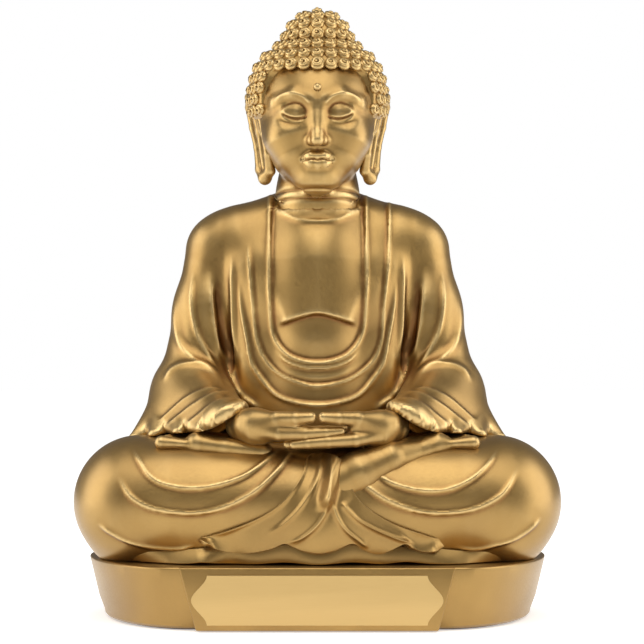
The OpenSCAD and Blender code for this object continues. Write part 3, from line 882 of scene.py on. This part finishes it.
def row_heights():
    above = HAIRLINE + 2.9 + ROW * np.arange(5)
    below = HAIRLINE + 2.9 - ROW * np.arange(1, 10)
    return list(above) + [CROWN - CURL_H - 2.4] + list(below)

def plant(name, spots):
    one = curl_mesh()
    bm = bmesh.new()
    normals = slope(scalp, spots)
    first_row = HAIRLINE + 2.9
    for spot, normal in zip(spots, normals):
        first = len(bm.verts)
        bm.from_mesh(one)
        bm.verts.ensure_lookup_table()
        in_middle = abs(spot[0]) < 1 and spot[1] < 0 and abs(spot[2] - first_row) < 0.1
        size = 1.14 if in_middle else (0.94 if spot[2] < first_row - 1 else 1.04)
        turn = Vector(normal).to_track_quat("Z", "Y").to_matrix().to_4x4()
        place = Matrix.Translation(Vector(spot)) @ turn @ Matrix.Scale(size, 4)
        bmesh.ops.transform(bm, matrix=place, verts=bm.verts[first:])
    bpy.data.meshes.remove(one)
    print(name, "carries", len(spots), "curls")
    return new_object(name, bm)

spots = np.vstack([curl_row(z) for z in row_heights()])
spots = np.vstack([spots, [(0, 12.2, CROWN - CURL_H - 0.1)]])
spots = spots[inside_hairline(spots) > 0.3]
hair_curls = plant("hair_curl_castings", spots[spots[:, 2] < KNOT_FROM])
knot_curls = plant("ushnisha_curl_castings", spots[spots[:, 2] >= KNOT_FROM])

# %% [markdown]
# The urna is a small round bead set between the brows. An icosphere gives an even ball
# without poles, and it is pushed in until it meets the forehead.

# %% Urna
def urna_bead():
    bm = bmesh.new()
    bmesh.ops.create_icosphere(bm, subdivisions=4, radius=1.9)
    spot = np.array([[0.0, -40.0, 257.0]])
    for _ in range(40):
        spot[0, 1] += float(head_clay(spot)[0])
    bmesh.ops.translate(bm, vec=(0, spot[0, 1] - 0.3, spot[0, 2]), verts=bm.verts)
    print("urna at y", round(spot[0, 1], 2))
    return new_object("urna_bead", bm)

urna = urna_bead()

# %% [markdown]
# ## The plinth
# In plan the plinth has a straight front and back and full round ends. It is a little wider
# at the rim than at the foot, and an upright tablet stands out of the leaning front. It is
# cast hollow. One round of points starts at the ceiling of the hollow, goes down the inner
# wall, round the foot, up the outside and over the rim, as a wall of that shape is cast.

# %% Plinth
FLAT = 60.0                      # half the length of the straight front
OVAL = 1.8                       # 2 is an ellipse, larger is squarer
TAPER = 7.0                      # how much narrower the foot is, each side
WALL = 4.0
FOOT_Z = plinth_low[2]
PLATE_BACK = plate_high[1]
TABLET_FRONT = PLATE_BACK + 0.3  # a film of tape lies between tablet and plate
PLINTH_Y = 0.55
HALF_D = plinth_high[1] - PLINTH_Y

def plan_point(v, a, b):
    """Where a point of the unit circle goes on the plinth's plan."""
    side = abs(v.co.x)
    u = max(side - 0.12, 0) / 0.88
    straight = FLAT * min(side / 0.12, 1)
    x = straight + (a - FLAT) * u ** (2 / OVAL)
    y = b * max(1 - u * u, 0) ** (1 / OVAL)
    return Vector((math.copysign(x, v.co.x), math.copysign(y, v.co.y), 0))

def plan_block(name, first_inset, first_z, rings):
    """A shell that starts at one plan and goes on through rings of (inset, height)."""
    bm = bmesh.new()
    bmesh.ops.create_circle(bm, radius=1, segments=192, cap_ends=True)
    a, b, z = plinth_high[0] - first_inset, HALF_D - first_inset, first_z
    for v in bm.verts:
        v.co = plan_point(v, a, b) + Vector((0, 0, z))
    face = bm.faces[:][0]
    for number, (inset, height) in enumerate(rings):
        out = bmesh.ops.extrude_face_region(bm, geom=[face])
        if number:
            bmesh.ops.delete(bm, geom=[face], context="FACES_ONLY")
        face = [g for g in out["geom"] if isinstance(g, bmesh.types.BMFace)][0]
        new_a, new_b = plinth_high[0] - inset, HALF_D - inset
        bmesh.ops.scale(bm, vec=(new_a / a, new_b / b, 1), verts=face.verts)
        bmesh.ops.translate(bm, vec=(0, 0, height - z), verts=face.verts)
        a, b, z = new_a, new_b, height
    bmesh.ops.translate(bm, vec=(0, PLINTH_Y, 0), verts=bm.verts)
    bmesh.ops.recalc_face_normals(bm, faces=bm.faces)
    return new_object(name, bm)

def prism(name, outline, y_front, y_back):
    """An outline seen from the front, given a depth."""
    bm = bmesh.new()
    face = bm.faces.new([bm.verts.new((x, y_back, z)) for x, z in outline])
    out = bmesh.ops.extrude_face_region(bm, geom=[face])
    moved = [g for g in out["geom"] if isinstance(g, bmesh.types.BMVert)]
    bmesh.ops.translate(bm, vec=(0, y_front - y_back, 0), verts=moved)
    bmesh.ops.recalc_face_normals(bm, faces=bm.faces)
    return new_object(name, bm)

def join_meshes(obj, other):
    bm = bmesh.new()
    bm.from_mesh(obj.data)
    bm.from_mesh(other.data)
    bm.to_mesh(obj.data)
    bm.free()
    bpy.data.objects.remove(other)

def smooth_but_sharp(obj):
    for face in obj.data.polygons:
        face.use_smooth = True
    obj.data.set_sharp_from_angle(angle=math.radians(32))

def round_edges(obj, width, segments, angle=30):
    bevel = obj.modifiers.new("round edges", "BEVEL")
    bevel.width = width
    bevel.segments = segments
    bevel.limit_method = "ANGLE"
    bevel.angle_limit = math.radians(angle)
    apply_modifiers(obj)
    smooth_but_sharp(obj)

# %% [markdown]
# Each ring of the wall is a distance in from the rim and a height. The tablet is a block of
# its own, let into the front, and its sides widen towards the rim.

# %% Rings of the wall, and the tablet
SPAN = DECK - FOOT_Z
inner_wall = [(TAPER + WALL, FOOT_Z + 0.4), (TAPER + WALL - 0.5, FOOT_Z), (TAPER + 2.6, FOOT_Z)]
foot_round = [(TAPER + 1.2, FOOT_Z + 0.5), (TAPER + 0.3, FOOT_Z + 1.5), (TAPER, FOOT_Z + 3.2)]
side_swell = [(TAPER * 0.62, FOOT_Z + SPAN * 0.35), (TAPER * 0.27, FOOT_Z + SPAN * 0.7)]
rim_round = [(0, DECK - 0.9), (0.12, DECK - 0.45), (0.42, DECK - 0.12), (0.9, DECK), (3.0, DECK)]
plinth_rings = inner_wall + foot_round + side_swell + rim_round
plinth = plan_block("plinth_casting", TAPER + WALL, DECK - 5, plinth_rings)
tablet = prism("tablet_block", [(-56.2, FOOT_Z), (56.2, FOOT_Z), (64, DECK - 0.1), (-64, DECK - 0.1)],
               TABLET_FRONT, TABLET_FRONT + 9.5)
round_edges(tablet, 0.7, 3)
join_meshes(plinth, tablet)
smooth_but_sharp(plinth)
print("plinth:", len(plinth.data.polygons), "faces")

# %% [markdown]
# ## The nameplate
# Thin brass sheet, stamped to a shape that engravers stock: each end swings out in an S
# curve to a bulge and back again. Its edge is barely broken, as a punch leaves it, and its
# face is left blank.

# %% Nameplate
def nameplate_outline(bulge=7.3, count=16):
    half_w = plate_high[0]
    half_h = (plate_high[2] - plate_low[2]) / 2
    middle = (plate_high[2] + plate_low[2]) / 2
    rise = np.linspace(-1, 1, 2 * count + 1)
    right = [(half_w - bulge * (1 - smoothstep(1 - abs(t))), t * half_h) for t in rise]
    left = [(-x, -z) for x, z in right]
    return [(x, middle + z) for x, z in right + left]

nameplate = prism("nameplate_brass", nameplate_outline(), plate_low[1], plate_high[1])
round_edges(nameplate, 0.12, 2, 50)
print("nameplate:", len(nameplate.data.polygons), "faces")

# %% [markdown]
# ## Where shade and highlight are painted
# Hollows are painted darker as shade and high edges paler as highlight. For every point of a
# casting the script notes how far its surroundings stand above or below it. The gold reads that
# number.

# %% Note the hollows and edges for painted shade and highlight
def note_hollows(obj, rounds, gain):
    mesh = obj.data
    p = get_points(obj)
    normals = np.empty(len(p) * 3, np.float32)
    mesh.vertices.foreach_get("normal", normals)
    rise = ((p - relax(p, edges_of(obj), rounds)) * normals.reshape(-1, 3)).sum(1)
    # below 0.5 the gold gets painted shade, above it a painted highlight
    value = np.clip(0.5 + gain * rise, 0, 1).astype(np.float32)
    mesh.attributes.new("hollow", "FLOAT", "POINT").data.foreach_set("value", value)

def note_flat(obj, level=0.5):
    mesh = obj.data
    value = np.full(len(mesh.vertices), level, np.float32)
    mesh.attributes.new("hollow", "FLOAT", "POINT").data.foreach_set("value", value)
print("hollow notes ready")

# %% [markdown]
# ## Sawing the sleeves off the torso
# The casting of the upper body is too hollow for one mould, so both arms are cast apart. The
# joint follows the deep recess between chest and arm, where nobody sees it.

# %% Torso and sleeves
def sawn(source, name, planes):
    """A copy of a casting with everything beyond the given planes sawn off and closed."""
    bm = bmesh.new()
    bm.from_mesh(source.data)
    for point, normal in planes:
        cut = bmesh.ops.bisect_plane(bm, geom=bm.verts[:] + bm.edges[:] + bm.faces[:], dist=0.0001,
                                     plane_co=point, plane_no=normal, clear_outer=True)
        rim = [g for g in cut["geom_cut"] if isinstance(g, bmesh.types.BMEdge)]
        bmesh.ops.holes_fill(bm, edges=rim, sides=0)
    obj = new_object(name, bm)
    # the surface keeps the normals of the uncut one, so the joint shows no crease
    keep = obj.modifiers.new("uncut normals", "DATA_TRANSFER")
    keep.object = source
    keep.use_loop_data = True
    keep.data_types_loops = {"CUSTOM_NORMAL"}
    keep.loop_mapping = "POLYINTERP_NEAREST"
    apply_modifiers(obj)
    print(name, "sawn:", len(obj.data.polygons), "faces")
    return obj

note_hollows(upper, 8, 1.6)
left_saw = ((48, 16, 0), (0.94, -0.34, 0))
right_saw = ((-48, 16, 0), (-0.94, -0.34, 0))
torso = sawn(upper, "torso_casting", [left_saw, right_saw])
left_sleeve = sawn(upper, "left_sleeve_casting", [(left_saw[0], [-n for n in left_saw[1]])])
right_sleeve = sawn(upper, "right_sleeve_casting", [(right_saw[0], [-n for n in right_saw[1]])])
bpy.data.objects.remove(upper)

# %% [markdown]
# The other castings get the same number. The cap, the knot and the plinth are smooth, so
# theirs is the even middle, and the bead is set high, which paints a highlight on it as bright
# as on a high edge.

# %% Painted shade and highlight of the other castings
cloth = [lap_piece, apron, hem_piece]
skin = [right_foot, left_foot, right_hand, left_hand, head_piece, left_ear, right_ear]
curls = [hair_curls, knot_curls]
for piece in cloth:
    note_hollows(piece, 8, 1.6)
for piece in skin:
    note_hollows(piece, 8, 2.4)
for piece in curls:
    note_hollows(piece, 2, 1.5)
for piece in (hair_cap, knot, plinth):
    note_flat(piece)
# the bead's high number gives it a painted highlight
note_flat(urna, 0.9)

print(len(cloth + skin + curls) + 4, "castings noted")

# %% [markdown]
# ## Finishes
# Colours are given as they look on a screen and turned to the linear values that light is
# reckoned in. Patterns read the place on the object, in metres, so their scales are worked
# out from real sizes.

# %% Tools for materials
def linear(hex_colour):
    parts = [int(hex_colour[i:i + 2], 16) / 255 for i in (1, 3, 5)]
    return tuple(c / 12.92 if c <= 0.04045 else ((c + 0.055) / 1.055) ** 2.4 for c in parts) + (1.0,)

def add(tree, kind, inputs=None, **settings):
    """Adds a node, sets its settings, and links or sets its inputs."""
    made = tree.nodes.new(kind)
    for name, value in settings.items():
        setattr(made, name, value)
    for name, value in (inputs or {}).items():
        if isinstance(value, bpy.types.NodeSocket):
            tree.links.new(value, made.inputs[name])
        else:
            made.inputs[name].default_value = value
    return made

def finish_of(name, metallic, coat=0.0):
    material = bpy.data.materials.new(name)
    material.use_nodes = True
    tree = material.node_tree
    shader = tree.nodes["Principled BSDF"]
    shader.inputs["Metallic"].default_value = metallic
    shader.inputs["IOR"].default_value = 1.5
    shader.inputs["Coat Weight"].default_value = coat
    shader.inputs["Coat Roughness"].default_value = 0.36
    place = add(tree, "ShaderNodeTexCoord").outputs["Object"]
    return material, tree, shader, place

def noise_of(tree, place, size_mm, detail=2.0):
    """A cloud pattern whose lumps are about size_mm across."""
    inputs = {"Vector": place, "Scale": 1 / (size_mm * MM), "Detail": detail}
    return add(tree, "ShaderNodeTexNoise", inputs).outputs["Fac"]

def blend_colour(tree, factor, first, second):
    return add(tree, "ShaderNodeMix", {0: factor, 6: first, 7: second}, data_type="RGBA").outputs[2]

def in_range(tree, value, low, high, to_low, to_high):
    inputs = {"Value": value, "From Min": low, "From Max": high, "To Min": to_low, "To Max": to_high}
    return add(tree, "ShaderNodeMapRange", inputs).outputs["Result"]

def bump(tree, shader, height, depth_mm):
    node = add(tree, "ShaderNodeBump", {"Height": height, "Strength": 1.0, "Distance": depth_mm * MM})
    tree.links.new(node.outputs["Normal"], shader.inputs["Normal"])
print("material tools ready")

# %% [markdown]
# Gold paint is brass flake in lacquer. Flakes lie flat and shine softly, so the paint reads
# as metal with a broad highlight. Hollows get painted shade in brown and high edges a painted
# highlight in pale gold.

# %% Satin gold paint
def gold_paint():
    # what makes it look like painted casting: a broad soft shine, with painted shade brown in the hollows
    material, tree, shader, place = finish_of("satin_gold_paint", 0.92, coat=0.35)
    cloud = noise_of(tree, place, 34)
    patchy = in_range(tree, cloud, 0.35, 0.65, 0, 1)
    colour = blend_colour(tree, patchy, linear("#997841"), linear("#a58348"))
    hollow = add(tree, "ShaderNodeAttribute", attribute_name="hollow").outputs["Fac"]
    # painted shade: hollows are darkened towards brown
    colour = blend_colour(tree, in_range(tree, hollow, 0.5, 0.08, 0, 0.85), colour, linear("#6a3e0c"))
    # painted highlight: high edges are lightened towards pale gold
    colour = blend_colour(tree, in_range(tree, hollow, 0.52, 0.95, 0, 0.7), colour, linear("#d9ba7e"))
    tree.links.new(colour, shader.inputs["Base Color"])
    # a grain of fine casting pores, half a millimetre across
    grain = noise_of(tree, place, 0.9, 3.0)
    tree.links.new(in_range(tree, grain, 0.3, 0.7, 0.32, 0.44), shader.inputs["Roughness"])
    bump(tree, shader, grain, 0.03)
    return material
print("gold paint mixed")

# %% [markdown]
# The other finishes: rolled brass for the plate, zinc on the bolts and screws, turned brass
# for inserts, fibreboard for the closing board, felt under it and a pale film of tape.

# %% Plate, fixings, board, felt and tape
def plate_brass():
    # rolled sheet with a lacquer over it: flat, pale, with hair lines along its length
    material, tree, shader, place = finish_of("lacquered_sheet_brass", 0.35)
    long_grain = add(tree, "ShaderNodeMapping", {"Vector": place, "Scale": (1, 30, 30)}).outputs["Vector"]
    lines = noise_of(tree, long_grain, 9)
    colour = blend_colour(tree, lines, linear("#c9a768"), linear("#cfae70"))
    tree.links.new(colour, shader.inputs["Base Color"])
    tree.links.new(in_range(tree, lines, 0.3, 0.7, 0.46, 0.54), shader.inputs["Roughness"])
    return material

def metal(name, dark, light, rough):
    # turned metal: tone drifts a little from place to place, and the shine with it
    material, tree, shader, place = finish_of(name, 1.0)
    cloud = noise_of(tree, place, 4)
    tree.links.new(blend_colour(tree, cloud, linear(dark), linear(light)), shader.inputs["Base Color"])
    tree.links.new(in_range(tree, cloud, 0.3, 0.7, rough - 0.05, rough + 0.08), shader.inputs["Roughness"])
    return material

def plain(name, dark, light, size_mm, rough, depth_mm):
    # dull stuff: two close tones in lumps of its real grain, and a rough skin
    material, tree, shader, place = finish_of(name, 0.0)
    cloud = noise_of(tree, place, size_mm, 4.0)
    tree.links.new(blend_colour(tree, cloud, linear(dark), linear(light)), shader.inputs["Base Color"])
    shader.inputs["Roughness"].default_value = rough
    bump(tree, shader, cloud, depth_mm)
    return material

gold = gold_paint()
brass_plate = plate_brass()
zinc = metal("bright_zinc", "#9da2a7", "#c9cdd1", 0.28)
turned = metal("turned_brass", "#a8823a", "#d8b863", 0.25)
fibreboard = plain("fibreboard", "#6f5238", "#957252", 1.2, 0.8, 0.05)
felt = plain("wool_felt", "#351d16", "#54342a", 0.5, 0.95, 0.2)
tape = plain("foam_tape", "#d9d7d0", "#efeee9", 0.8, 0.6, 0.02)
print("finishes ready")

# %% [markdown]
# ## Putting the castings on the frame
# Every sculpted casting is turned from millimetres to metres and takes the place of its
# plain twin in the frame. The fixings stay as they are and only get their finish.

# %% Castings take their places
def take_place(piece, material, slot_name, *nodes):
    set_points(piece, get_points(piece) * MM)
    piece.data.materials.clear()
    piece.data.materials.append(material)
    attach(piece, "root")
    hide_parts(*nodes)

castings = [
    (plinth, "plinth"), (lap_piece, "lap"), (apron, "robe_apron"), (hem_piece, "under_hem"),
    (right_foot, "right_foot"), (left_foot, "left_foot"), (torso, "torso"),
    (right_sleeve, "right_sleeve"), (left_sleeve, "left_sleeve"), (right_hand, "right_hand"),
    (left_hand, "left_hand"), (head_piece, "head"), (right_ear, "right_ear"), (left_ear, "left_ear"),
    (urna, "urna"), (hair_cap, "hair_cap"), (knot, "ushnisha"), (hair_curls, "hair_curls"),
    (knot_curls, "ushnisha_curls")]
for piece, node in castings:
    take_place(piece, gold, "gold_casting", node)
take_place(nameplate, brass_plate, "nameplate_brass", "nameplate")

fixings = {
    zinc: ["base_screws", "figure_washers", "figure_bolts", "waist_rod", "waist_nut"],
    turned: ["lap_inserts", "foot_dowels", "sleeve_dowels", "hand_dowels", "neck_dowel", "knot_dowel"],
    fibreboard: ["base_plate"],
    felt: ["felt_pad"],
    tape: ["nameplate_tape"]}
for material, nodes in fixings.items():
    for node in nodes:
        part = frame["nodes"][node]
        part.data.materials.clear()
        part.data.materials.append(material)
print(len(castings) + 1, "castings placed,", sum(map(len, fixings.values())), "fixings finished")

# %% [markdown]
# ## Floor and light
# A white table lit softly from below in a white room, as for a catalogue. A wide soft light
# comes from above and a little in front, so tops are bright and upright fronts are deeper.
# The room is seen as white but gives little light, which is what leaves the fronts brown.

# %% Floor, lights and room
bm = bmesh.new()
bmesh.ops.create_grid(bm, x_segments=1, y_segments=1, size=4.0)
floor = new_object("floor", bm)
light_table = plain("pale_light_table", "#f4f4f4", "#f7f7f7", 400, 0.6, 0.0)
lamp_side = light_table.node_tree.nodes["Principled BSDF"]
lamp_side.inputs["Emission Color"].default_value = (1, 1, 1, 1)
lamp_side.inputs["Emission Strength"].default_value = 0.4
floor.data.materials.append(light_table)

def soft_box(name, place, aim, size, power):
    data = bpy.data.lights.new(name, "AREA")
    data.shape = "RECTANGLE"
    data.size, data.size_y = size
    data.energy = power
    lamp = bpy.data.objects.new(name, data)
    lamp.location = place
    lamp.rotation_euler = (Vector(aim) - Vector(place)).to_track_quat("-Z", "Y").to_euler()
    bpy.context.scene.collection.objects.link(lamp)
    return lamp

sky = bpy.data.lights.new("overhead", "SUN")
sky.energy = 2.15
sky.angle = math.radians(60)
sky_lamp = bpy.data.objects.new("overhead", sky)
sky_lamp.rotation_euler = (math.radians(24), 0, 0)
bpy.context.scene.collection.objects.link(sky_lamp)
soft_box("left wall", (-1.1, -0.1, 0.5), (0, 0, 0.15), (1.0, 1.2), 10)
soft_box("right wall", (1.1, -0.1, 0.5), (0, 0, 0.15), (1.0, 1.2), 10)

world = bpy.data.worlds.new("white_room")
world.use_nodes = True
bpy.context.scene.world = world
room = world.node_tree
lit = add(room, "ShaderNodeBackground", {"Color": (1, 1, 1, 1), "Strength": 0.18})
seen = add(room, "ShaderNodeBackground", {"Color": (1, 1, 1, 1), "Strength": 1.0})
camera_ray = add(room, "ShaderNodeLightPath").outputs["Is Camera Ray"]
both_of = add(room, "ShaderNodeMixShader", {0: camera_ray, 1: lit.outputs[0], 2: seen.outputs[0]})
room.links.new(both_of.outputs[0], room.nodes["World Output"].inputs["Surface"])
bpy.context.scene.view_settings.view_transform = "Standard"

print("floor,", len(bpy.data.lights), "lights and room ready")

# %% [markdown]

print("scene ready")
